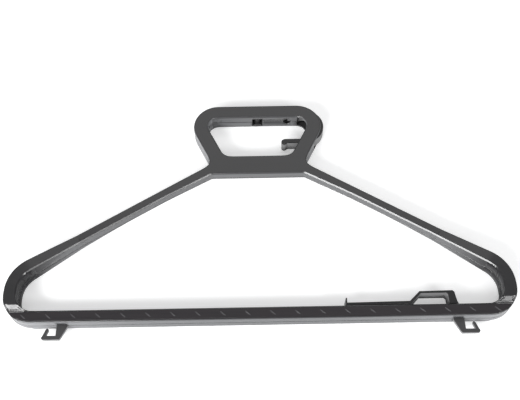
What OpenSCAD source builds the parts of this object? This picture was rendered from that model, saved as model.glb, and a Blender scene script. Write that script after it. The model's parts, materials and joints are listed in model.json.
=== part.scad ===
// Trouser hanger lying on its back: X runs across it, Y from the bar to the
// handle, and Z out of its face. The two moulded halves meet on a seam plane.

/* [Overall] */
// Width across the shoulder ends
hanger_w = 437; // [410:1:480]
// Slope of the arms in degrees
arm_slope = 31.7; // [28:0.1:35]
// Depth of the bar and the handle
body_t = 16; // [15:0.5:18]
// Height of the shoulder ends over the bar's face
end_up = 3.5; // [2:0.5:5]
// Wall of the two halves
wall = 1.7; // [1.5:0.1:1.9]

/* [Trouser bar] */
// Height of the bar
bar_h = 11; // [10:0.5:13]

/* [Shoulder ends] */
// Outer radius of the corner next to the bar
low_r = 25; // [22:0.5:28]
// Outer radius of the corner next to the arm
high_r = 32.5; // [29:0.5:36]
// Straight length between the two corners
end_rise = 4; // [3.6:0.1:8]
// Length of the ramp from the bar up to the raised face
ramp_run = 5; // [4:0.5:8]

/* [Arms] */
// Width of an arm
arm_w = 8.2; // [7.4:0.1:9]
// Length over which the shoulder end narrows and its face comes down to the arm
swell_run = 50; // [40:1:70]
// Width of an arm where it meets the plate
neck_w = 10.6; // [10:0.1:12]
// Length over which an arm widens towards the plate
neck_run = 60; // [40:1:70]
// Thickness of the rear half along an arm
cover_t = 1.2; // [1:0.1:1.5]
// Length over which the rear half thins from the shoulder end to that
thin_run = 100; // [90:1:120]

/* [Head] */
// Width across the handle
handle_w = 123.4; // [118:0.1:132]
// Height of the head, from the plate's lower edge to the top of the handle
head_h = 78.4; // [75:0.2:84]
// Height of the plate that the arms run into
plate_h = 20.2; // [18:0.2:22]
// Width of the plate's lower edge
plate_w = 89; // [80:1:92]
// Height of the plate's lower edge over the arms' inner edges
plate_up = 1.2; // [0.6:0.1:2]
// Height of the plate's lower strip, where the rear half is as thin as along the arms
plate_low = 4.5; // [3:0.1:6]
// Width of the ring round the hand opening
ring_w = 14; // [13.4:0.1:15]
// Outer radius of the handle's upper corners
corner_r = 23.5; // [21:0.5:24]
// Lean of the handle's sides in degrees from upright
lean = 26; // [22:0.5:28]
// Radius of the lower corners of the hand opening
palm_r = 10; // [8:0.5:12]
// Radius of the hollow between the handle and an arm
waist_r = 7; // [5:0.5:9]

/* [Folding hook] */
// Clear opening of the hook
hook_open = 29.3; // [27:0.1:31]
// Thickness of the hook
hook_th = 4.4; // [3.8:0.1:4.6]
// How far the folded hook's bend stands out of the handle's side
hook_out = 2.4; // [0:0.1:3]
// Radius of the hook's eye
eye_r = 4.8; // [4.6:0.1:5]
// Radius of the pivot pin
pin_r = 2.5; // [2:0.1:3]
// Depth of the pin's sockets
socket_t = 1; // [0.8:0.1:1.1]
// Half the width of the opening in the handle's middle
window_half = 5; // [5:0.1:7]
// How far the window reaches forward of the seam
window_front = 4.5; // [3:0.1:5]
// Radius of the hole through which a finger pushes the hook out
push_r = 4; // [3:0.1:4.2]
// Distance of that hole from the middle
push_x = 29; // [25:0.5:31]
// Distance of the hook's tip from the middle
tip_x = 25.6; // [25:0.1:29]
// Radius of the bead at the hook's tip
tip_r = 3; // [2.6:0.1:3.2]

/* [Tie tongue] */
// Distance of the tongue's foot from the hanger's side
foot_in = 55; // [53.5:0.5:56.5]
// Length of the tongue, from its foot to its tip
tongue_l = 91; // [80:1:96]
// Thickness of the tongue
tongue_th = 2.5; // [2:0.1:3]
// Depth of the tongue
tongue_d = 12; // [9:0.5:12.5]
// Gap between the tongue and the bar
tongue_gap = 0.6; // [0.5:0.1:1]
// Height of the raised part over the bar
tongue_rise = 12.8; // [10:0.1:15]
// Length of the raised part
rise_l = 23; // [18:0.5:28]
// Width of the leg
leg_w = 7; // [6:0.1:7.5]
// Height of the nub at the tip
nub_h = 4; // [3:0.1:6]

/* [Skirt hooks] */
// Distance of a hook's upright from the hanger's side
skirt_in = 51.2; // [47:0.1:52.5]
// Drop of a hook below the bar
skirt_drop = 12.9; // [10:0.1:15]
// Thickness of a hook's plate
skirt_t = 3; // [2.4:0.1:3.4]
// Width of a hook's upright at the bar
skirt_root = 9.4; // [8:0.1:10]
// Reach of a hook from its upright's inner edge
skirt_reach = 21.5; // [20:0.1:24]
// Height of a hook's foot
skirt_foot = 3.8; // [3:0.1:4.2]

/* [Grip strips] */
// Height of a strip
grip_h = 8.2; // [7:0.1:8.4]
// Thickness of a strip
grip_t = 1.4; // [1.2:0.1:1.8]
// Depth of a strip's pocket
pocket_t = 1.2; // [0.8:0.1:1.3]
// Distance between two ribs
rib_pitch = 21; // [14:1:30]
// Length of a rib
rib_l = 6.2; // [4:0.1:7]
// Width of a rib
rib_w = 1.1; // [0.8:0.1:1.6]
// Height of a rib
rib_h = 0.35; // [0.2:0.05:0.6]

/* [Joining pegs] */
// Radius of a peg
peg_r = 1.4; // [1.2:0.1:1.5]
// Length of a peg past the seam
peg_l = 3; // [2.4:0.1:3.4]
// Radius of a peg's post
post_r = 3; // [2.6:0.1:3.2]
// Distance between the pegs along the bar
peg_pitch = 60; // [50:1:64]

/* [Clearances] */
// Gap between the hook and the halves
hook_gap = 0.3; // [0.25:0.05:0.4]
// Extra room at the ends of the hook's slot
slot_gap = 0.6; // [0.4:0.1:0.8]
// Radial gap between a turning piece and its pin
turn_gap = 0.05; // [0.03:0.01:0.08]
// Radial gap between a peg or pin and its socket
press_gap = 0.02; // [0.01:0.01:0.04]
// Gap round an inlaid or clamped piece
fit_gap = 0.1; // [0.05:0.01:0.15]
// Gap between the rear strip's ribs and the table that the hanger lies on
rib_gap = 0.1; // [0.05:0.05:0.5]

/* [Hidden] */
$fn = 96;

plastic = [0.13, 0.13, 0.13];
rubber = [0.06, 0.06, 0.07];
past = 1;
blend = 0.05;
far = 600;

// Half depths on either side of the seam
body_z = body_t / 2;
end_z = body_z + end_up;

// Shoulder ends and arms
side_x = hanger_w / 2;
bar_y = bar_h / 2;
low_c = [side_x - low_r, low_r - bar_y];
high_c = [side_x - high_r, low_c[1] + end_rise];
turn = 90 - arm_slope;
arm_start = high_c + high_r * [cos(turn), sin(turn)];
low_lap = lap_len(low_r - bar_h / 2);
high_lap = lap_len(high_r - bar_h / 2);
function arm_y(x, in) = arm_start[1] + (arm_start[0] - x) * tan(arm_slope) - in / cos(arm_slope);

// Head
plate_x = plate_w / 2;
arm_l = (arm_start[0] - plate_x) / cos(arm_slope) + ring_w / 2;
corner_lap = lap_len(corner_r - ring_w / 2);
plate_y = arm_y(plate_x, neck_w) + plate_up;
plate_top = plate_y + plate_h;
head_top = plate_y + head_h;
corner_c = [handle_w / 2 - corner_r, head_top - corner_r];
side_n = [cos(lean), -sin(lean)];
side_start = corner_c + corner_r * side_n;
side_l = (side_start[1] - plate_top + palm_r) / cos(lean);
floor_y = head_top - ring_w;
palm_y = plate_top + palm_r;
inner_line = side_n * (corner_c + (corner_r - ring_w) * side_n);
palm_c = [(inner_line - palm_r + sin(lean) * palm_y) / cos(lean), palm_y];

// The hollow between the handle's side and the arm's outer edge
arm_n = [cos(turn), sin(turn)];
side_d = side_n * side_start + waist_r;
arm_d = arm_n * arm_start + waist_r;
waist_det = side_n[0] * arm_n[1] - side_n[1] * arm_n[0];
waist_c = [side_d * arm_n[1] - arm_d * side_n[1],
           side_n[0] * arm_d - arm_n[0] * side_d] / waist_det;
fill_w = 6;

// Folding hook
pivot = [0, head_top - ring_w / 2];
slot_z = body_z - wall;
hook_d = 2 * (slot_z - hook_gap);
bend_in = hook_open / 2;
bend_out = bend_in + hook_th;
bend_c = [handle_w / 2 + hook_out - bend_out, pivot[1] - bend_in - hook_th / 2];
return_y = bend_c[1] - bend_in - hook_th / 2;
tip_y = return_y - 1.1;
tip_near = norm([tip_x, tip_y] - pivot) - tip_r - slot_gap;
slot_low = return_y - hook_th / 2 - slot_gap;
shank_low = pivot[1] - hook_th / 2 - slot_gap;

// Tie tongue
foot_x = side_x - foot_in;
foot_c = [foot_x, bar_y - wall - 2.7];
foot_r = 2.5;
foot_pin_r = 1.2;
foot_d = 2 * (body_z - pocket_t - wall - 0.6);
strip_y = bar_y + tongue_gap;

// Skirt hooks and joining pegs
skirt_x = side_x - skirt_in;
tab_in = 0.2;
tab_y = [-bar_y + wall + tab_in, bar_y - wall - tab_in];
hook_peg_x = skirt_x + 3.6;
bar_pegs = [hook_peg_x - 2 * peg_pitch, hook_peg_x - peg_pitch];
plate_peg_x = 22;
peg_y = (plate_y + plate_top) / 2;

// Grip strips
grip_end_r = low_r - bar_y + grip_h / 2 + blend;
pocket_z = body_z - pocket_t;
bar_roof = pocket_z - wall;
rib_angle = -40;

// Height over the seam of the faces that the hanger lies on: the rear ends and the rear of the head
rest_z = pocket_z + grip_t + rib_h + rib_gap;

// Length of the hollow that the rear half keeps along an arm
thin_hollow = thin_run * (rest_z - 2 * wall) / (rest_z - cover_t);

// Lowest and highest points, for the place of the origin
mid_y = (head_top - bar_y - skirt_drop) / 2;

// Puts the model over its origin, with its lowest face at Z = 0
module placed() {
    translate([0, -mid_y, rest_z]) children();
}

// A thing and its mirror image on the left
module both_sides() {
    children();
    mirror([1, 0, 0]) children();
}

// How far a curve of middle radius r runs on into its straights, in degrees and in length.
// A straight lies a hair inside the curve's edge, so that the two cross cleanly.
function lap_angle(r) = acos(1 - blend / r);
function lap_len(r) = r * sin(lap_angle(r));

// Flat form of a straight stretch, drawn in by its wall, with its laps on the curves at its ends
module run_flat(start, dir, len, w, in, lap_a = 0, lap_b = 0) {
    translate(start) rotate(dir) translate([-lap_a, in + blend]) square([len + lap_a + lap_b, w - 2 * in]);
}

// Flat form of a curved stretch, drawn in by its wall
module bend_flat(centre, r_out, from, to, w, in) {
    lap = lap_angle(r_out - w / 2);
    translate(centre) intersection() {
        difference() {
            circle(r_out - in);
            circle(r_out - w + in);
        }
        polygon(concat([[0, 0]], [for (i = [0:3]) far * dir(from - lap + i * (to - from + 2 * lap) / 3)]));
    }
}

function dir(angle) = [cos(angle), sin(angle)];

// Rounded filling of a hollow corner, seen from the middle of its arc
module filling(centre, r, from, to) {
    translate(centre) intersection() {
        difference() {
            circle(r + fill_w);
            circle(r + blend);
        }
        polygon(concat([[0, 0]], [for (i = [0:3]) far * dir(from + i * (to - from) / 3)]));
    }
}

// Space above the ramp that leads from the bar to a raised shoulder end
module above_ramp(high) {
    tilt = atan((high - body_z) / ramp_run);
    translate([0, bar_y, body_z]) rotate([tilt, 0, 0]) translate([0, -far / 2, 0])
        cube([far, far, far / 4]);
}

// Space above the slope that leads from a shoulder end along its arm
module above_slope(high, low, run) {
    tilt = atan((high - low) / (run - 2 * past));
    translate([arm_start[0], arm_start[1], high]) rotate(180 - arm_slope) rotate([0, tilt, 0])
        translate([0, -far / 2, 0]) cube([far, far, far / 4]);
}

// Arm from its shoulder end, where it narrows, up to a given length
module arm_flat(len, in) {
    near = in + blend;
    translate(arm_start) rotate(180 - arm_slope)
        polygon([[-high_lap, near], [len, near], [len, arm_w - in + blend], [swell_run, arm_w - in + blend],
                 [0, bar_h - in + blend], [-high_lap, bar_h - in + blend]]);
}

// Stretch where an arm widens on its inner side towards the plate
module neck_flat(in) {
    start = arm_l - neck_run;
    middle = arm_w / 2;
    translate(arm_start) rotate(180 - arm_slope)
        polygon([[start, middle], [arm_l, middle], [arm_l, neck_w - in + blend], [start, arm_w - in + blend]]);
}

// Curves and straight of a shoulder end, and a length of its arm
module end_flat(len, in) {
    bend_flat(low_c, low_r, -90, 0, bar_h, in);
    high_end_flat(len, in);
}

module high_end_flat(len, in) {
    side_flat(in);
    arm_flat(len, in);
}

module side_flat(in) {
    run_flat([side_x, low_c[1]], 90, end_rise, bar_h, in, low_lap, high_lap);
    bend_flat(high_c, high_r, 0, turn, bar_h, in);
}

module bar_flat(in) {
    run_flat([-low_c[0], -bar_y], 0, 2 * low_c[0], bar_h, in, low_lap, low_lap);
}

// Ring round the hand opening, and the plate from a height over its lower edge
module head_flat(low, in) {
    translate([-plate_x, plate_y + low + in]) square([plate_w, plate_h - low - 2 * in]);
    run_flat([corner_c[0], head_top], 180, 2 * corner_c[0], ring_w, in, corner_lap, corner_lap);
    both_sides() {
        bend_flat(corner_c, corner_r, -lean, 90, ring_w, in);
        run_flat(side_start - side_l * [sin(lean), cos(lean)], 90 - lean, side_l, ring_w, in, 0, corner_lap);
    }
}

// Rounded fillings of the lower corners of the hand opening
module palm_filling() {
    both_sides() filling(palm_c, palm_r, -90, -lean);
}

// Outline of the whole frame
module frame_flat() {
    bar_flat(0);
    both_sides() {
        end_flat(arm_l, 0);
        neck_flat(0);
        filling(waist_c, waist_r, 180 - lean, 180 + turn);
    }
    head_flat(0, 0);
    palm_filling();
}

// Outer form of the front half, from the seam up to its face
module front_body() {
    linear_extrude(body_z) frame_flat();
    both_sides() difference() {
        linear_extrude(end_z) end_flat(swell_run, 0);
        above_ramp(end_z);
        above_slope(end_z, body_z, swell_run);
    }
}

// Outer form of the rear half, thin along the arms and under the plate's lower strip
module rear_body() {
    linear_extrude(cover_t) frame_flat();
    linear_extrude(body_z) bar_flat(0);
    linear_extrude(rest_z) {
        head_flat(plate_low, 0);
        palm_filling();
    }
    both_sides() difference() {
        linear_extrude(rest_z) end_flat(thin_run, 0);
        above_ramp(rest_z);
        above_slope(rest_z, cover_t, thin_run);
    }
}

// Hollow under the bar's grip, lower than the others
module bar_hollow() {
    linear_extrude(bar_roof + past) {
        bar_flat(wall);
        both_sides() bend_flat(low_c, low_r, -90, 0, bar_h, wall);
    }
}

module front_hollow() {
    linear_extrude(slot_z + past) {
        head_flat(0, wall);
        both_sides() {
            high_end_flat(arm_l, wall);
            neck_flat(wall);
        }
    }
}

module rear_hollow() {
    linear_extrude(slot_z + past) {
        head_flat(plate_low, wall);
        both_sides() side_flat(wall);
    }
    both_sides() difference() {
        linear_extrude(slot_z + past) arm_flat(thin_hollow, wall);
        translate([0, 0, past - wall]) above_slope(rest_z, cover_t, thin_run);
    }
}

// Way that the hook sweeps between the two skins of the handle
module hook_way() {
    translate([0, 0, -past]) linear_extrude(slot_z + past) {
        translate([-window_half, shank_low]) square([far, far]);
        intersection() {
            difference() {
                circle_at(pivot, far / 2);
                circle_at(pivot, tip_near);
            }
            translate([0, slot_low]) square([far, far]);
        }
    }
}

module circle_at(centre, r) {
    translate(centre) circle(r);
}

// Pocket for a grip strip, or the strip itself, as seen from its face
module grip_flat(out) {
    half_h = grip_h / 2 + out;
    translate([-low_c[0], -half_h]) square([2 * low_c[0], 2 * half_h]);
    both_sides() intersection() {
        translate([low_c[0], -half_h]) square([low_r, 2 * half_h]);
        circle_at(low_c, grip_end_r + out);
    }
}

// A half with all its cuts; front is true for the half with the pegs
module half(front) {
    face = front ? 1 : -1;
    difference() {
        union() {
            difference() {
                if (front) front_body(); else rear_body();
                translate([0, 0, -past]) {
                    bar_hollow();
                    if (front) front_hollow(); else rear_hollow();
                }
            }
            for (x = bar_pegs) both_sides() post([x, 0], bar_roof, 0);
            both_sides() post([plate_peg_x, peg_y], slot_z, 0);
            both_sides() post([hook_peg_x, 0], bar_roof, skirt_t / 2 + fit_gap / 2);
            if (front) pegs();
        }
        hook_way();
        window(face);
        translate([push_x, floor_y + wall + past, 0]) rotate([90, 0, 0])
            cylinder(h = wall + 2 * past, r = push_r);
        translate([pivot[0], pivot[1], 0]) cylinder(h = slot_z + socket_t, r = pin_r + press_gap);
        translate([0, 0, pocket_z]) linear_extrude(past + pocket_t) grip_flat(fit_gap);
        both_sides() translate([skirt_x - skirt_root / 2 - fit_gap, -bar_y - past, -past])
            cube([skirt_root + 2 * fit_gap, wall + 2 * past, past + skirt_t / 2 + fit_gap / 2]);
        tongue_slot();
        if (!front) peg_holes();
    }
}

// Window in the middle of the handle's inner wall
module window(face) {
    reach = face > 0 ? window_front : slot_z;
    translate([-window_half, floor_y - past, -past])
        cube([2 * window_half, wall + 2 * past, reach + past]);
}

// Slot in the bar's inner wall for the tongue's leg
module tongue_slot() {
    translate([foot_x - foot_r - slot_gap, bar_y - wall - past / 2, -past])
        cube([2 * (foot_r + slot_gap), wall + past, past + foot_d / 2 + hook_gap]);
}

// Post from the roof of the hollow down to a height over the seam
module post(at, roof, low) {
    translate([at[0], at[1], low]) cylinder(h = roof - low + wall / 2, r = post_r);
}

// Pegs of the front half
module pegs() {
    for (x = bar_pegs) both_sides() peg([x, 0], bar_roof);
    both_sides() peg([plate_peg_x, peg_y], slot_z);
    both_sides() peg([hook_peg_x, 0], bar_roof);
    translate([foot_c[0], foot_c[1], -peg_l]) cylinder(h = bar_roof + wall / 2 + peg_l, r = foot_pin_r);
}

module peg(at, roof) {
    translate([at[0], at[1], -peg_l]) cylinder(h = roof + peg_l, r = peg_r);
}

// Sockets of the rear half, a little deeper than the pegs are long
module peg_holes() {
    for (x = bar_pegs) both_sides() peg_hole([x, 0]);
    both_sides() peg_hole([plate_peg_x, peg_y]);
    both_sides() peg_hole([hook_peg_x, 0]);
}

module peg_hole(at) {
    translate([at[0], at[1], -past]) cylinder(h = past + peg_l + hook_gap, r = peg_r + press_gap);
}

module front_shell() {
    color(plastic) placed() half(true);
}

module rear_shell() {
    color(plastic) placed() mirror([0, 0, 1]) half(false);
}

// Hook as it lies folded away: eye, shank, bend, return leg and beaded tip
module folding_hook() {
    color(plastic) placed() translate([0, 0, -hook_d / 2]) linear_extrude(hook_d) difference() {
        union() {
            circle_at(pivot, eye_r);
            translate([0, pivot[1] - hook_th / 2]) square([bend_c[0], hook_th]);
            hook_bend_flat();
            translate([tip_x, return_y - hook_th / 2]) square([bend_c[0] - tip_x, hook_th]);
            circle_at([tip_x, tip_y], tip_r);
        }
        circle_at(pivot, pin_r + turn_gap);
    }
}

module hook_bend_flat() {
    intersection() {
        difference() {
            circle_at(bend_c, bend_out);
            circle_at(bend_c, bend_in);
        }
        translate([bend_c[0], bend_c[1] - far / 2]) square([far, far]);
    }
}

// Pin that the hook turns on, held in blind sockets of both halves
module hook_pin() {
    len = 2 * (slot_z + socket_t - fit_gap);
    color(plastic) placed() translate([pivot[0], pivot[1], -len / 2]) cylinder(h = len, r = pin_r);
}

// Tongue as it lies along the bar: tip nub, strip, raised part, leg and foot
module tie_tongue() {
    color(plastic) placed() difference() {
        union() {
            translate([0, 0, -tongue_d / 2]) linear_extrude(tongue_d) tongue_flat();
            translate([foot_c[0], foot_c[1], -foot_d / 2]) cylinder(h = foot_d, r = foot_r);
            translate([foot_x - foot_r, foot_c[1], -foot_d / 2])
                cube([2 * foot_r, bar_y + 2 - foot_c[1], foot_d]);
        }
        translate([foot_c[0], foot_c[1], -tongue_d]) cylinder(h = 2 * tongue_d, r = foot_pin_r + turn_gap);
    }
}

module tongue_flat() {
    tip = foot_x - tongue_l;
    leg = foot_x - leg_w / 2;
    step = leg - rise_l;
    top = bar_y + tongue_rise;
    slant = tongue_rise - tongue_th - 1.5;
    polygon([[tip, strip_y], [step - slant, strip_y + 0.6], [step, top - tongue_th],
             [leg - 1.5, top - tongue_th], [leg, top - tongue_th - 1.5], [leg, strip_y],
             [foot_x + leg_w / 2 + 1, strip_y], [foot_x + leg_w / 2, strip_y + 3],
             [foot_x + leg_w / 2 - 1.2, top - 1.5], [foot_x + leg_w / 2 - 2.7, top],
             [step - 1, top - 0.4], [step - slant - 1.2, strip_y + tongue_th + 0.6],
             [tip, strip_y + tongue_th]]);
    translate([tip, strip_y]) square([1.4, tongue_th + nub_h]);
    circle_at([tip + 0.9, strip_y + tongue_th + nub_h], 0.9);
}

// Skirt hook on the right, clamped on the seam by a peg through its tab
module skirt_hook() {
    low = -bar_y - skirt_drop;
    root = skirt_x - skirt_root / 2;
    heel = root + 6;
    toe = root + skirt_reach;
    foot_half = skirt_foot / 2;
    translate([0, 0, -skirt_t / 2]) linear_extrude(skirt_t) difference() {
        union() {
            polygon([[root, tab_y[0] + past], [root, -bar_y - 1.5], [heel - 0.8, low + 0.8], [heel, low],
                     [root + skirt_root, low + skirt_foot], [root + skirt_root, tab_y[0] + past]]);
            translate([hook_peg_x - post_r, tab_y[0]]) square([2 * post_r, tab_y[1] - tab_y[0]]);
            translate([heel, low]) square([toe - foot_half - heel, skirt_foot]);
            circle_at([toe - foot_half, low + foot_half], foot_half);
            translate([toe - foot_half, low + foot_half]) rotate(21) translate([-1.4, 0]) square([2.8, 7.6]);
            translate([toe - foot_half, low + foot_half]) rotate(21) circle_at([0, 7.6], 1.4);
        }
        circle_at([hook_peg_x, 0], peg_r + fit_gap);
    }
}

module skirt_hook_right() {
    color(plastic) placed() skirt_hook();
}

module skirt_hook_left() {
    color(plastic) placed() mirror([1, 0, 0]) skirt_hook();
}

// Strip that lies in the bar's pocket, with slanting ribs against slipping
module grip_strip() {
    translate([0, 0, pocket_z]) linear_extrude(grip_t) grip_flat(0);
    for (x = [rib_pitch / 2 : rib_pitch : low_c[0] + grip_h], side = [-1, 1])
        translate([side * x, 0, pocket_z + grip_t]) rotate(rib_angle)
            translate([-rib_l / 2, -rib_w / 2, -past / 2]) cube([rib_l, rib_w, past / 2 + rib_h]);
}

module grip_strip_front() {
    color(rubber) placed() grip_strip();
}

module grip_strip_rear() {
    color(rubber) placed() rotate([0, 180, 0]) grip_strip();
}

front_shell();
rear_shell();
folding_hook();
hook_pin();
tie_tongue();
skirt_hook_left();
skirt_hook_right();
grip_strip_front();
grip_strip_rear();
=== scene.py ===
import json
import math

import bmesh
import bpy
from mathutils import Matrix, Vector
from mathutils.bvhtree import BVHTree
from mathutils.geometry import delaunay_2d_cdt


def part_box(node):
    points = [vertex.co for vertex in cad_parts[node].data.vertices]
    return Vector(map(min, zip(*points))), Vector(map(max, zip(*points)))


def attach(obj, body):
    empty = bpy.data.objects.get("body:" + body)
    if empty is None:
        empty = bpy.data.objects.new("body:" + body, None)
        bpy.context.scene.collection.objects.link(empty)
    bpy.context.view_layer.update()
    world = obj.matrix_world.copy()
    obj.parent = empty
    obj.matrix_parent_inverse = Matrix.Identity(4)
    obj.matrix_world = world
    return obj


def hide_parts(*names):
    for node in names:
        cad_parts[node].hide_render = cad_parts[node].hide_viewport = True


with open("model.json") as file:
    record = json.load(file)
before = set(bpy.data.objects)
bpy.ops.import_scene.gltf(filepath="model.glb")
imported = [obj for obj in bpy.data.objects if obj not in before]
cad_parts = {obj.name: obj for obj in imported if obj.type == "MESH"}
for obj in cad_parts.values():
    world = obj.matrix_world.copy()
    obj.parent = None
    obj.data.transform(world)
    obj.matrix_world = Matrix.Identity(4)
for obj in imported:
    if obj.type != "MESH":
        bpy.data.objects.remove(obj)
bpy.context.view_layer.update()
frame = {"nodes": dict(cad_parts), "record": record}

nodes = frame["nodes"]
mm = 0.001
print("stage: frame loaded,", len(nodes), "nodes")

# where the photograph was taken from, measured from the middle of the bar's face
shot = {
    "side": 1.35 * mm,
    "back": 230 * mm,
    "height": 588.2 * mm,
    "down": math.radians(60.04),
    "roll": math.radians(1.0),
    "focalPx": 744.2,
    "framePx": 520,
    "sensorMm": 36,
}

pegLength = 3 * mm  # how far the front half's pegs reach past the seam
barHalf = 8 * mm  # from the seam to the bar's face
gripLow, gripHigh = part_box("grip_strip_front")
barY = (gripLow.y + gripHigh.y) / 2
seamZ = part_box("front_shell")[0].z + pegLength
faceZ = seamZ + barHalf


def newObject(name, data):
    made = bpy.data.objects.new(name, data)
    bpy.context.scene.collection.objects.link(made)
    return made


def makeCamera():
    data = bpy.data.cameras.new("camera")
    data.sensor_width = shot["sensorMm"]
    data.lens = shot["focalPx"] / shot["framePx"] * shot["sensorMm"]
    camera = newObject("camera", data)
    bpy.context.scene.camera = camera
    tilt = Matrix.Rotation(math.pi / 2 - shot["down"], 4, "X")
    roll = Matrix.Rotation(-shot["roll"], 4, "Z")
    place = Matrix.Translation((shot["side"], barY - shot["back"], faceZ + shot["height"]))
    camera.matrix_world = place @ tilt @ roll


makeCamera()
print("stage: camera")


# one socket of a material, with the operators that add its Math nodes
class Flow:
    def __init__(self, finish, out):
        self.finish = finish
        self.out = out

    def maths(self, operation, *values):
        return self.finish.add("ShaderNodeMath", {"operation": operation}, *values)

    def __add__(self, other): return self.maths("ADD", self, other)
    def __radd__(self, other): return self.maths("ADD", other, self)
    def __sub__(self, other): return self.maths("SUBTRACT", self, other)
    def __rsub__(self, other): return self.maths("SUBTRACT", other, self)
    def __mul__(self, other): return self.maths("MULTIPLY", self, other)
    def __rmul__(self, other): return self.maths("MULTIPLY", other, self)
    def __truediv__(self, other): return self.maths("DIVIDE", self, other)
    def __rtruediv__(self, other): return self.maths("DIVIDE", other, self)
    def __pow__(self, other): return self.maths("POWER", self, other)
    def __rpow__(self, other): return self.maths("POWER", other, self)
    def __gt__(self, other): return self.maths("GREATER_THAN", self, other)
    def __lt__(self, other): return self.maths("LESS_THAN", self, other)
    def __abs__(self): return self.maths("ABSOLUTE", self)


# a material with one Principled shader
class Finish:
    def __init__(self, name):
        self.material = bpy.data.materials.new(name)
        self.material.use_nodes = True
        self.nodes = self.material.node_tree.nodes
        self.links = self.material.node_tree.links
        self.shader = next(node for node in self.nodes if node.type == "BSDF_PRINCIPLED")
        self.place = self.add("ShaderNodeTexCoord", out="Object")
        self.facing = self.add("ShaderNodeTexCoord", out="Normal")

    def plug(self, socket, value):
        if isinstance(value, Flow):
            self.links.new(value.out, socket)
        elif socket.type == "RGBA":
            socket.default_value = (*value, 1)
        else:
            socket.default_value = value

    # a node from its type, its settings, and what its sockets take, in order or by name
    def add(self, kind, settings=None, *values, out=0, **named):
        node = self.nodes.new(kind)
        for key, value in (settings or {}).items():
            setattr(node, key, value)
        for socket, value in zip(node.inputs, values):
            self.plug(socket, value)
        for key, value in named.items():
            self.plug(node.inputs[key], value)
        return Flow(self, node.outputs[out])

    def mix(self, factor, first, second):
        node = self.nodes.new("ShaderNodeMix")
        node.data_type = "RGBA"
        colours = [socket for socket in node.inputs if socket.type == "RGBA"]
        for socket, value in zip([node.inputs[0], *colours], (factor, first, second)):
            self.plug(socket, value)
        return Flow(self, next(socket for socket in node.outputs if socket.type == "RGBA"))

    def noise(self, scale, detail, rough=0.5, stretch=(1, 1, 1)):
        spot = self.add("ShaderNodeMapping", None, self.place, Scale=stretch)
        return self.add("ShaderNodeTexNoise", None,
                        Vector=spot, Scale=scale, Detail=detail, Roughness=rough)

    # the x, y and z of a vector
    def parts(self, vector):
        split = self.add("ShaderNodeSeparateXYZ", None, vector).out.node
        return [Flow(self, out) for out in split.outputs]

    # 0 on faces that look up or down, 1 on upright walls
    def upright(self):
        return 1 - abs(self.parts(self.facing)[2])

    def set(self, name, value):
        self.plug(self.shader.inputs[name], value)

    def grain(self, look):
        height = self.noise(look["grainScale"], look["grainDetail"])
        self.set("Normal", self.add("ShaderNodeBump", None, Height=height,
                                    Distance=look["grainHeight"], Strength=look["grainStrength"]))


# what both plastics share
plasticLook = {
    "cloudScale": 9,
    "cloudDetail": 4,
    "cloudShare": 0.5,
    "streakScale": 38,
    "streakDetail": 4,
    "streakRough": 0.6,
    "streakStretch": (0.35, 4, 4),
    "roughSpread": 0.12,
    "grainScale": 2600,
    "grainDetail": 2,
    "grainHeight": 0.006 * mm,
    "grainStrength": 0.5,
    "refraction": 1.5,
}


# satin moulded plastic, clouded and streaked, and the colour of its faces
def plastic(name, look):
    shares = plasticLook
    f = Finish(name)
    clouds = f.noise(shares["cloudScale"], shares["cloudDetail"])
    streaks = f.noise(shares["streakScale"], shares["streakDetail"], shares["streakRough"],
                      shares["streakStretch"])
    pattern = clouds * shares["cloudShare"] + streaks * (1 - shares["cloudShare"])
    f.grain(shares)
    f.set("Roughness", look["rough"] + (streaks - 0.5) * shares["roughSpread"])
    f.set("IOR", shares["refraction"])
    return f, f.mix(pattern, look["dark"], look["light"])


# shell: its walls are painted lighter than its faces, a painted reflection of the bright table, and fade to
# painted shade at the bends of the shoulder ends
shellLook = {
    "dark": (0.015, 0.015, 0.0165),
    "light": (0.027, 0.0265, 0.0275),
    "rough": 0.2,
    # painted reflection of the table on the inner walls, and painted shade on them at the bends
    "wall": (0.16, 0.162, 0.168),
    "bendWallPaintedShade": (0.02, 0.02, 0.022),
    "bendX": (168 * mm, 196 * mm),
    # painted light on the handle's outer walls and the bar's south wall, with less of it in the middle of
    # that wall
    "outerWallPaintedLight": (0.36, 0.365, 0.38),
    "middleWallPaintedLight": (0.125, 0.128, 0.135),
    "paintedWallLightShare": 0.7,
    "wallScale": 38,
    "wallDetail": 3,
    "wallRough": 0.6,
    "wallStretch": (0.35, 4, 12),
    "wallLeast": 0.6,
    "southY": -100 * mm,
    "endX": 190 * mm,
    "endPower": 4,
    "headX": 44 * mm,
    "headY": 58 * mm,
}


# the handle's outer walls and the ends of the bar's south wall catch the most light from the table
def shellPlastic():
    look = shellLook
    f, face = plastic("satinShellPlastic", look)
    x, y, z = f.parts(f.place)
    south = y < look["southY"]
    outer = south + (y > look["headY"]) * (abs(x) > look["headX"])
    middle = south * (1 - (abs(x) / look["endX"]) ** look["endPower"])
    bend = f.add("ShaderNodeMapRange", None, abs(x), *look["bendX"])
    streaks = f.noise(look["wallScale"], look["wallDetail"], look["wallRough"], look["wallStretch"])
    # painted light on the inner walls, fading to painted shade at the bends
    innerWallPaintedLightAndShade = f.mix(bend, look["wall"], look["bendWallPaintedShade"])
    # painted light on the outer walls, less in the middle of the bar's south wall
    outerWallPaintedLight = f.mix(middle, look["outerWallPaintedLight"], look["middleWallPaintedLight"])
    wall = f.mix(outer * (look["wallLeast"] + (1 - look["wallLeast"]) * streaks), innerWallPaintedLightAndShade, outerWallPaintedLight)
    # upright walls take the painted light in place of the face colour
    f.set("Base Color", f.mix(f.upright() * look["paintedWallLightShare"], face, wall))
    return f.material


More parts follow.
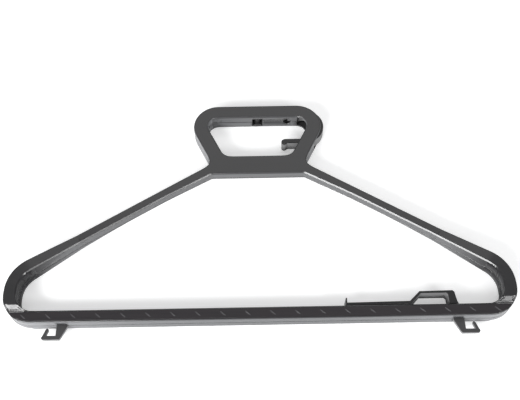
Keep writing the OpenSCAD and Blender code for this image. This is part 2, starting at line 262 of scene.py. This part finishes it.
# hook, pin, tongue and skirt hooks: the skirt hooks, south of the bar, are painted lighter in front as
# painted light, and the walls carry a painted reflection of the table
hookLook = {
    "dark": (0.006, 0.006, 0.007),
    "light": (0.013, 0.0125, 0.013),
    # painted light on the skirt hooks south of the bar
    "south": (0.045, 0.0445, 0.046),
    "rough": 0.36,
    # painted reflection of the table on the walls
    "wall": (0.3, 0.3, 0.305),
    "paintedWallLightShare": 0.7,
    "hiddenX": 30 * mm,
    "hiddenY": 104 * mm,
    "tipY": 60 * mm,
    "tipDepth": 1.3 * mm,
}


# walls are painted lighter as a reflection of the table, except the folding hook's walls inside the handle
# and close under its front face, which stay dark as painted shade
def hookPlastic():
    look = hookLook
    f, face = plastic("satinHookPlastic", look)
    x, y, z = f.parts(f.place)
    # painted shade: no painted wall light inside the handle or just under the front face
    shadeInsideHandle = (y > look["hiddenY"]) * (x < look["hiddenX"])
    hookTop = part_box("folding_hook")[1].z
    shadeUnderFace = (y > look["tipY"]) * (z > hookTop - look["tipDepth"])
    walls = f.upright() * look["paintedWallLightShare"] * (1 - shadeInsideHandle) * (1 - shadeUnderFace)
    # painted light on the walls, and on the skirt hooks south of the bar
    f.set("Base Color", f.mix(walls, f.mix(y < shellLook["southY"], face, look["south"]), look["wall"]))
    return f.material


gripLook = {
    "dark": (0.007, 0.007, 0.009),
    "light": (0.026, 0.021, 0.024),
    "rib": (0.055, 0.054, 0.058),
    "rough": 0.38,
    "roughSpread": 0.2,
    "cloudScale": 12,
    "cloudDetail": 3,
    "cloudShare": 0.4,
    "streakScale": 60,
    "streakDetail": 4,
    "streakRough": 0.6,
    "streakStretch": (0.25, 5, 1),
    "grainScale": 3000,
    "grainDetail": 2,
    "grainHeight": 0.02 * mm,
    "grainStrength": 0.5,
}


# matt rubber, streaked along the bar, with lighter ribs
def gripRubber():
    look = gripLook
    f = Finish("mattGripRubber")
    clouds = f.noise(look["cloudScale"], look["cloudDetail"])
    streaks = f.noise(look["streakScale"], look["streakDetail"], look["streakRough"], look["streakStretch"])
    pattern = clouds * look["cloudShare"] + streaks * (1 - look["cloudShare"])
    ribs = f.add("ShaderNodeAttribute", {"attribute_name": "rib"}, out="Fac")
    f.set("Base Color", f.mix(ribs, f.mix(pattern, look["dark"], look["light"]), look["rib"]))
    f.set("Roughness", look["rough"] + (streaks - 0.5) * look["roughSpread"])
    f.grain(look)
    return f.material


finishes = {
    "shell": shellPlastic(),
    "hook": hookPlastic(),
    "grip": gripRubber(),
}
slotOf = {part["node"]: part["material_slot"] for part in frame["record"]["subparts"]}
bodyOf = {node: body for body, held in frame["record"]["behaviour"]["bodies"].items() for node in held}
print("stage: finishes")

# how the outline of a moulded piece is walked and rounded
outlineWork = {
    "weld": 0.002 * mm,
    "onPlane": 1e-8,
    "shortestLoop": 22 * mm,
    "step": 2.2 * mm,
    "tinyShare": 0.12,
    "cornerDeg": 22,
    "smoothPasses": 3,
    "sharpest": 0.35,
    "probe": 0.4 * mm,
    "skin": 0.01 * mm,
    "support": 0.22 * mm,
    "supportShare": 0.3,
    "thinShare": 0.45,
}


def mergedCopy(name):
    copy = bmesh.new()
    copy.from_mesh(nodes[name].data)
    bmesh.ops.remove_doubles(copy, verts=copy.verts, dist=outlineWork["weld"])
    return copy


# closed flat outlines of a node at one height, the outer one first, with the material on their left
def outlinesAt(name, height):
    cut = mergedCopy(name)
    everything = cut.verts[:] + cut.edges[:] + cut.faces[:]
    found = bmesh.ops.bisect_plane(cut, geom=everything, dist=outlineWork["onPlane"],
                                   plane_co=(0, 0, height), plane_no=(0, 0, 1))
    nextTo = {}
    for edge in (item for item in found["geom_cut"] if isinstance(item, bmesh.types.BMEdge)):
        first, second = edge.verts
        nextTo.setdefault(first, []).append(second)
        nextTo.setdefault(second, []).append(first)
    loops = []
    left = dict.fromkeys(nextTo)  # in the order of the cut, so that each run starts at the same place
    while left:
        start = here = next(iter(left))
        before = None
        loop = []
        while here in left:
            del left[here]
            loop.append(here.co.xy.copy())
            ahead = [vert for vert in nextTo[here] if vert is not before and vert in left]
            before, here = here, (ahead[0] if ahead else start)
        loops.append(loop)
    cut.free()
    loops = [loop for loop in loops if lengthOf(loop) > outlineWork["shortestLoop"]]
    loops.sort(key=lambda loop: -abs(areaOf(loop)))
    return [loop if (areaOf(loop) > 0) == (index == 0) else loop[::-1]
            for index, loop in enumerate(loops)]


def areaOf(loop):
    return sum(a.x * b.y - b.x * a.y for a, b in zip(loop, loop[1:] + loop[:1])) / 2


def lengthOf(loop):
    return sum((b - a).length for a, b in zip(loop, loop[1:] + loop[:1]))


# the same outline in even steps, with its corners kept and its small kinks smoothed
def evenLoop(loop, step):
    kept = [loop[0]]
    for point in loop[1:]:
        if (point - kept[-1]).length > step * outlineWork["tinyShare"]:
            kept.append(point)
    count = len(kept)
    corners = []
    for i in range(count):
        before = kept[i] - kept[i - 1]
        after = kept[(i + 1) % count] - kept[i]
        if abs(math.degrees(before.angle_signed(after))) > outlineWork["cornerDeg"]:
            corners.append(i)
    corners = corners or [0]
    even = []
    fixed = set()
    for number, first in enumerate(corners):
        last = corners[(number + 1) % len(corners)]
        stretch = [kept[(first + k) % count] for k in range((last - first) % count + 1)]
        if len(stretch) == 1:  # one corner alone: once round
            stretch = kept[first:] + kept[:first + 1]
        lengths = [(b - a).length for a, b in zip(stretch, stretch[1:])]
        pieces = max(1, round(sum(lengths) / step))
        fixed.add(len(even))
        even.append(stretch[0])
        gone = 0
        spot = 0
        for k in range(1, pieces):
            wanted = sum(lengths) * k / pieces
            while gone + lengths[spot] < wanted:
                gone += lengths[spot]
                spot += 1
            even.append(stretch[spot].lerp(stretch[spot + 1], (wanted - gone) / lengths[spot]))
    if corners == [0]:
        fixed = set()
    for turn in range(outlineWork["smoothPasses"]):
        even = [point if i in fixed else point * 0.5 + (even[i - 1] + even[(i + 1) % len(even)]) * 0.25
                for i, point in enumerate(even)]
    return even


# for each point of an outline, the way into the material, longer where the outline turns sharply
def inwards(loop):
    ways = []
    for i, point in enumerate(loop):
        before = (point - loop[i - 1]).normalized()
        after = (loop[(i + 1) % len(loop)] - point).normalized()
        first = Vector((-before.y, before.x))
        second = Vector((-after.y, after.x))
        ways.append((first + second) / max(outlineWork["sharpest"], 1 + first.dot(second)))
    return ways


# shapes of an edge of unit size, as inset and depth from the flat face to the wall
def roundEdge(steps=6):
    angles = [math.pi / 2 * k / steps for k in range(steps + 1)]
    return [(1 - math.sin(angle), 1 - math.cos(angle)) for angle in angles]


# slanted at 45 degrees, with both of its ends eased
def slantEdge():
    eased = [(1, 0), (0.92, 0.022), (0.86, 0.07), (0.8, 0.13)]
    return eased + [(depth, inset) for inset, depth in reversed(eased)]


# closed solid over flat outlines; low and high give the heights at a point, lowEdges and highEdges
# the size and shape of the edge of each outline, and spots are points that both faces pass through
def roundedSolid(loops, low, high, lowEdges, highEdges, spots=()):
    skin = outlineWork["skin"]
    mesh = bmesh.new()
    caps = ([], [])
    for index, loop in enumerate(loops):
        lowSize, lowShape = lowEdges[min(index, len(lowEdges) - 1)]
        highSize, highShape = highEdges[min(index, len(highEdges) - 1)]
        support = min(outlineWork["support"], highSize * outlineWork["supportShare"])
        levels = [[] for level in range(len(lowShape) + len(highShape) + 4)]
        for point, way in zip(loop, inwards(loop)):
            probe = point + way * outlineWork["probe"]
            bottom = low(probe) + skin
            top = high(probe) - skin
            lowR = min(lowSize, (top - bottom) * outlineWork["thinShare"])
            highR = min(highSize, (top - bottom) * outlineWork["thinShare"])
            edge = min(support, (top - bottom - lowR - highR) / 2)
            wall = [(lowR + support, bottom)]
            wall += [(lowR * inset, bottom + lowR * depth) for inset, depth in lowShape]
            wall += [(0, bottom + lowR + edge), (0, top - highR - edge)]
            wall += [(highR * inset, top - highR * depth) for inset, depth in reversed(highShape)]
            wall.append((highR + support, top))
            for level, (inset, height) in zip(levels, wall):
                level.append(mesh.verts.new((*(point + way * (inset + skin)), height)))
        for lower, upper in zip(levels, levels[1:]):
            for i in range(len(loop)):
                after = (i + 1) % len(loop)
                mesh.faces.new((lower[i], lower[after], upper[after], upper[i]))
        caps[0].append(levels[0])
        caps[1].append(levels[-1])
    for rings, upwards in zip(caps, (False, True)):
        verts = dict(enumerate(vert for ring in rings for vert in ring))
        ringCount = len(verts)
        for face in capFaces([[vert.co.xy for vert in ring] for ring in rings], spots):
            for corner in face:
                if corner not in verts:
                    spot = spots[corner - ringCount]
                    height = high(spot) - skin if upwards else low(spot) + skin
                    verts[corner] = mesh.verts.new((*spot, height))
            mesh.faces.new([verts[corner] for corner in (face if upwards else face[::-1])])
    return mesh


# triangles between flat rims, which have the material on their left, and through the spots between
def capFaces(rims, spots):
    points = [point for rim in rims for point in rim] + list(spots)
    edges = []
    for rim in rims:
        start = len(edges)
        edges += [(start + i, start + (i + 1) % len(rim)) for i in range(len(rim))]
    flat = delaunay_2d_cdt(points, edges, [], 0, 1e-9)  # 0 leaves all triangles in
    faces = [[flat[3][corner][0] for corner in face]
             for face in flat[2] if all(flat[3][corner] for corner in face)]
    sides = [list(zip(face, face[1:] + face[:1])) for face in faces]
    owner = {side: index for index, face in enumerate(sides) for side in face}
    rimEdges = set(edges)
    ahead = [index for index, face in enumerate(sides) if rimEdges.intersection(face)]
    kept = set(ahead)
    while ahead:
        for a, b in sides[ahead.pop()]:
            beyond = owner.get((b, a))
            if (a, b) not in rimEdges and beyond is not None and beyond not in kept:
                kept.add(beyond)
                ahead.append(beyond)
    return [faces[index] for index in sorted(kept)]


def meshPiece(name, mesh):
    data = bpy.data.meshes.new(name)
    mesh.to_mesh(data)
    mesh.free()
    return newObject(name, data)


def baked(piece):
    graph = bpy.context.evaluated_depsgraph_get()
    graph.update()
    data = bpy.data.meshes.new_from_object(piece.evaluated_get(graph))
    piece.modifiers.clear()
    piece.data = data
    return piece


# what two closed pieces share, left in the first; or the first without the second
def shared(piece, other, operation="INTERSECT"):
    cut = piece.modifiers.new("shared", "BOOLEAN")
    cut.operation = operation
    cut.solver = "MANIFOLD"
    cut.object = other
    baked(piece)
    bpy.data.objects.remove(other)
    tidy = bmesh.new()
    tidy.from_mesh(piece.data)
    bmesh.ops.remove_doubles(tidy, verts=tidy.verts, dist=outlineWork["weld"])
    bmesh.ops.dissolve_degenerate(tidy, edges=tidy.edges, dist=outlineWork["weld"])
    tidy.to_mesh(piece.data)
    tidy.free()
    return piece


def finished(piece, node, smoothDeg=32):
    piece.data.materials.clear()
    piece.data.materials.append(finishes[slotOf[node]])
    for polygon in piece.data.polygons:
        polygon.use_smooth = True
    piece.data.set_sharp_from_angle(angle=math.radians(smoothDeg))
    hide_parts(node)
    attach(piece, bodyOf[node])
    print("stage:", piece.name, len(piece.data.polygons), "faces")


# grid of points over both ramps, where the faces rise from the bar to the shoulder ends
ramps = {
    "fromX": 186 * mm,
    "toX": 217 * mm,
    "stepX": 1.5 * mm,
    "fromY": 1.5 * mm,
    "toY": 20 * mm,
    "stepY": 0.9 * mm,
}


def rampSpots():
    columns = round((ramps["toX"] - ramps["fromX"]) / ramps["stepX"])
    rows = round((ramps["toY"] - ramps["fromY"]) / ramps["stepY"])
    return [Vector((side * (ramps["fromX"] + ramps["stepX"] * (column + 0.5 * (row % 2))),
                    barY + ramps["fromY"] + ramps["stepY"] * row))
            for side in (-1, 1) for column in range(columns) for row in range(rows)]


# dark parting groove in the handle's inner wall, between the window and the push hole
groove = {
    "from": 4.5 * mm,
    "to": 26 * mm,
    "wallY": 103.3 * mm,
    "room": 0.5 * mm,
    "deep": 0.9 * mm,
    "half": 1.2 * mm,
}


def grooveBox():
    low = Vector((groove["from"], groove["wallY"] - groove["room"], seamZ - groove["half"]))
    high = Vector((groove["to"], groove["wallY"] + groove["deep"], seamZ + groove["half"]))
    mesh = bmesh.new()
    bmesh.ops.create_cube(mesh, size=1)
    for vert in mesh.verts:
        vert.co = Vector(a * b for a, b in zip(vert.co, high - low)) + (low + high) / 2
    return mesh


# the two moulded halves: rounded outside, slanted inside, and a small bevel on both sides of the seam
halves = {
    "frontHalf": {"node": "front_shell", "side": 1},
    "rearHalf": {"node": "rear_shell", "side": -1},
}
halfLook = {
    "faceEdges": [(1.3 * mm, roundEdge()), (1.25 * mm, slantEdge())],
    "seamEdges": [(0.5 * mm, roundEdge(1))],
    "sectionDepth": 0.6 * mm,
    "farOff": 100 * mm,
    "pocketRoom": 1 * mm,
    "smoothDeg": 40,
}


# the grip's pocket is the outline that stays between the bar's two edges
def isPocket(loop):
    across = max(point.y for point in loop) - min(point.y for point in loop)
    return across < gripHigh.y - gripLow.y + halfLook["pocketRoom"]


def makeHalf(name, half):
    node = half["node"]
    outlines = [evenLoop(loop, outlineWork["step"])
                for loop in outlinesAt("front_shell", faceZ - halfLook["sectionDepth"])]
    outlines = [loop for loop in outlines if not isPocket(loop)]
    surface = BVHTree.FromBMesh(mergedCopy(node))
    far = seamZ + half["side"] * halfLook["farOff"]

    def face(point):
        hit = surface.ray_cast(Vector((*point, far)), Vector((0, 0, -half["side"])))
        return hit[0].z if hit[0] else faceZ

    def seam(point):
        return seamZ

    if half["side"] > 0:
        solid = roundedSolid(outlines, seam, face, halfLook["seamEdges"], halfLook["faceEdges"], rampSpots())
    else:
        solid = roundedSolid(outlines, face, seam, halfLook["faceEdges"], halfLook["seamEdges"], rampSpots())
    piece = meshPiece(name, solid)
    shared(piece, meshPiece(name + "Cad", mergedCopy(node)))
    shared(piece, meshPiece(name + "Groove", grooveBox()), "DIFFERENCE")
    finished(piece, node, halfLook["smoothDeg"])


for name, half in halves.items():
    makeHalf(name, half)

# the small moulded pieces, with their outer edges rounded
smallPieces = {
    "foldingHook": {"node": "folding_hook", "edge": 0.6 * mm},
    "tieTongue": {"node": "tie_tongue", "edge": 0.32 * mm},
    "skirtHookLeft": {"node": "skirt_hook_left", "edge": 0.45 * mm},
    "skirtHookRight": {"node": "skirt_hook_right", "edge": 0.45 * mm},
}
smallWork = {
    "step": 0.8 * mm,
    "offMiddle": 0.03 * mm,
    "edgeSteps": 5,
}


def makeSmallPiece(name, look):
    low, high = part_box(look["node"])
    section = (low.z + high.z) / 2 + smallWork["offMiddle"]
    outlines = [evenLoop(loop, smallWork["step"]) for loop in outlinesAt(look["node"], section)]
    edges = [(look["edge"], roundEdge(smallWork["edgeSteps"]))]
    solid = roundedSolid(outlines, lambda point: low.z, lambda point: high.z, edges, edges)
    piece = meshPiece(name, solid)
    shared(piece, meshPiece(name + "Cad", mergedCopy(look["node"])))
    finished(piece, look["node"])


for name, look in smallPieces.items():
    makeSmallPiece(name, look)

# the two inlaid grip strips: a flat strip with rounded edges, and its slanting ribs set in a row
gripStrips = {
    "gripStripFront": {"node": "grip_strip_front", "side": 1},
    "gripStripRear": {"node": "grip_strip_rear", "side": -1},
}
stripLook = {
    "thick": 1.4 * mm,
    "ribRoom": 0.35 * mm,
    "step": 1.6 * mm,
    "edge": 0.35 * mm,
    "edgeSteps": 4,
}
# inputs of the ribs' node group; makeStrip gives the top and the side's slant
ribLook = {
    "Count": 20,
    "Pitch": 21 * mm,
    "Length": 6.2 * mm,
    "Width": 1.1 * mm,
    "Height": 0.33 * mm,
    "Slant": math.radians(-40),
    "Top": 0.0,
}
ribBead = {"Segments": 20, "Rings": 10, "Radius": 0.5}


# node group that adds the row of ribs to a strip
def ribGroup():
    tree = bpy.data.node_groups.new("slantingRibs", "GeometryNodeTree")
    kinds = {"Geometry": "NodeSocketGeometry", "Count": "NodeSocketInt", "Material": "NodeSocketMaterial"}
    for name in ("Geometry", *ribLook, "Material"):
        tree.interface.new_socket(name, in_out="INPUT", socket_type=kinds.get(name, "NodeSocketFloat"))
    tree.interface.new_socket("Geometry", in_out="OUTPUT", socket_type="NodeSocketGeometry")
    given = tree.nodes.new("NodeGroupInput").outputs

    def plug(socket, value):
        if isinstance(value, bpy.types.NodeSocket):
            tree.links.new(value, socket)
        else:
            socket.default_value = value

    def node(kind, **values):
        made = tree.nodes.new(kind)
        for key, value in values.items():
            plug(made.inputs[key.replace("_", " ")], value)
        return made.outputs[0]

    def maths(operation, first, second):
        made = tree.nodes.new("ShaderNodeMath")
        made.operation = operation
        plug(made.inputs[0], first)
        plug(made.inputs[1], second)
        return made.outputs[0]

    rowLength = maths("MULTIPLY", maths("SUBTRACT", given["Count"], 1), given["Pitch"])
    start = node("ShaderNodeCombineXYZ", X=maths("MULTIPLY", rowLength, -0.5), Y=barY, Z=given["Top"])
    row = node("GeometryNodeMeshLine", Count=given["Count"], Start_Location=start,
               Offset=node("ShaderNodeCombineXYZ", X=given["Pitch"]))
    bead = node("GeometryNodeMeshUVSphere", **ribBead)
    size = node("ShaderNodeCombineXYZ", X=given["Length"], Y=given["Width"],
                Z=maths("MULTIPLY", given["Height"], 2))
    turned = node("ShaderNodeCombineXYZ", Z=given["Slant"])
    ribs = node("GeometryNodeInstanceOnPoints", Points=row, Instance=bead, Rotation=turned, Scale=size)
    made = node("GeometryNodeRealizeInstances", Geometry=ribs)
    marked = node("GeometryNodeStoreNamedAttribute", Geometry=made, Name="rib", Value=1.0)
    both = tree.nodes.new("GeometryNodeJoinGeometry")
    tree.links.new(given["Geometry"], both.inputs[0])
    tree.links.new(marked, both.inputs[0])
    dressed = node("GeometryNodeSetMaterial", Geometry=both.outputs[0], Material=given["Material"])
    tree.links.new(dressed, tree.nodes.new("NodeGroupOutput").inputs[0])
    return tree


def makeStrip(name, strip, group):
    low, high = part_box(strip["node"])
    front = strip["side"] > 0
    bottom = high.z - stripLook["ribRoom"] - stripLook["thick"] if front else low.z + stripLook["ribRoom"]
    top = bottom + stripLook["thick"]
    outlines = [evenLoop(loop, stripLook["step"]) for loop in outlinesAt(strip["node"], (bottom + top) / 2)]
    edges = [(stripLook["edge"], roundEdge(stripLook["edgeSteps"]))]
    piece = meshPiece(name, roundedSolid(outlines, lambda point: bottom, lambda point: top, edges, edges))
    row = piece.modifiers.new("ribs", "NODES")
    row.node_group = group
    values = dict(ribLook, Top=top if front else bottom, Slant=strip["side"] * ribLook["Slant"],
                  Material=finishes["grip"])
    for socket in group.interface.items_tree:
        if socket.in_out == "INPUT" and socket.name in values:
            row[socket.identifier] = values[socket.name]
    baked(piece)
    finished(piece, strip["node"])


ribs = ribGroup()
for name, strip in gripStrips.items():
    makeStrip(name, strip, ribs)


# the pin keeps the mesh of its solid
def dressPin():
    pin = nodes["hook_pin"]
    pin.data.materials.clear()
    pin.data.materials.append(finishes[slotOf["hook_pin"]])


dressPin()
print("stage: pin dressed")

stageLook = {
    "floor": (0.86, 0.865, 0.87),
    "rough": 0.6,
    "lift": 0.4,
    "size": 12.0,
    "sky": (1, 1, 1),
    "skyStrength": 0.36,
}


# pale floor that looks white to the camera, and an even sky
def makeStage():
    mesh = bpy.data.meshes.new("floor")
    half = stageLook["size"] / 2
    corners = [(-half, -half, 0), (half, -half, 0), (half, half, 0), (-half, half, 0)]
    mesh.from_pydata(corners, [], [(0, 1, 2, 3)])
    f = Finish("paleFloor")
    seen = f.add("ShaderNodeLightPath", out="Is Camera Ray")
    f.set("Base Color", stageLook["floor"])
    f.set("Roughness", stageLook["rough"])
    f.set("Emission Color", f.mix(seen, (0, 0, 0), (stageLook["lift"],) * 3))
    f.set("Emission Strength", 1)
    mesh.materials.append(f.material)
    newObject("floor", mesh)
    world = bpy.data.worlds.new("studio")
    bpy.context.scene.world = world
    world.use_nodes = True
    background = world.node_tree.nodes["Background"]
    background.inputs["Color"].default_value = (*stageLook["sky"], 1)
    background.inputs["Strength"].default_value = stageLook["skyStrength"]


# soft boxes round the table; radiance is that of their lit face
lamps = {
    "southWestBox": {"at": (-0.94, -1.36, 1.0), "aim": (0.1, 0, 0), "size": (1.3, 0.55), "radiance": 20},
    "southEastBox": {"at": (1.25, -1.15, 1.0), "aim": (0, 0, 0), "size": (0.35, 0.35), "radiance": 22},
    "southFill": {"at": (0.82, -1.42, 1.21), "aim": (0.1, 0, 0), "size": (0.45, 0.4), "radiance": 9},
    "northBox": {"at": (0, 1.38, 2.0), "aim": (0, 0, 0), "size": (2.2, 0.8), "radiance": 1.15},
}


def makeLamp(name, lamp):
    data = bpy.data.lights.new(name, "AREA")
    data.shape = "RECTANGLE"
    data.size, data.size_y = lamp["size"]
    data.energy = lamp["radiance"] * math.pi * data.size * data.size_y
    light = newObject(name, data)
    light.location = lamp["at"]
    aim = Vector(lamp["aim"]) - light.location
    light.rotation_euler = aim.to_track_quat("-Z", "Y").to_euler()


makeStage()
for name, lamp in lamps.items():
    makeLamp(name, lamp)
bpy.context.scene.view_settings.view_transform = "Standard"
print("stage: floor and lamps")
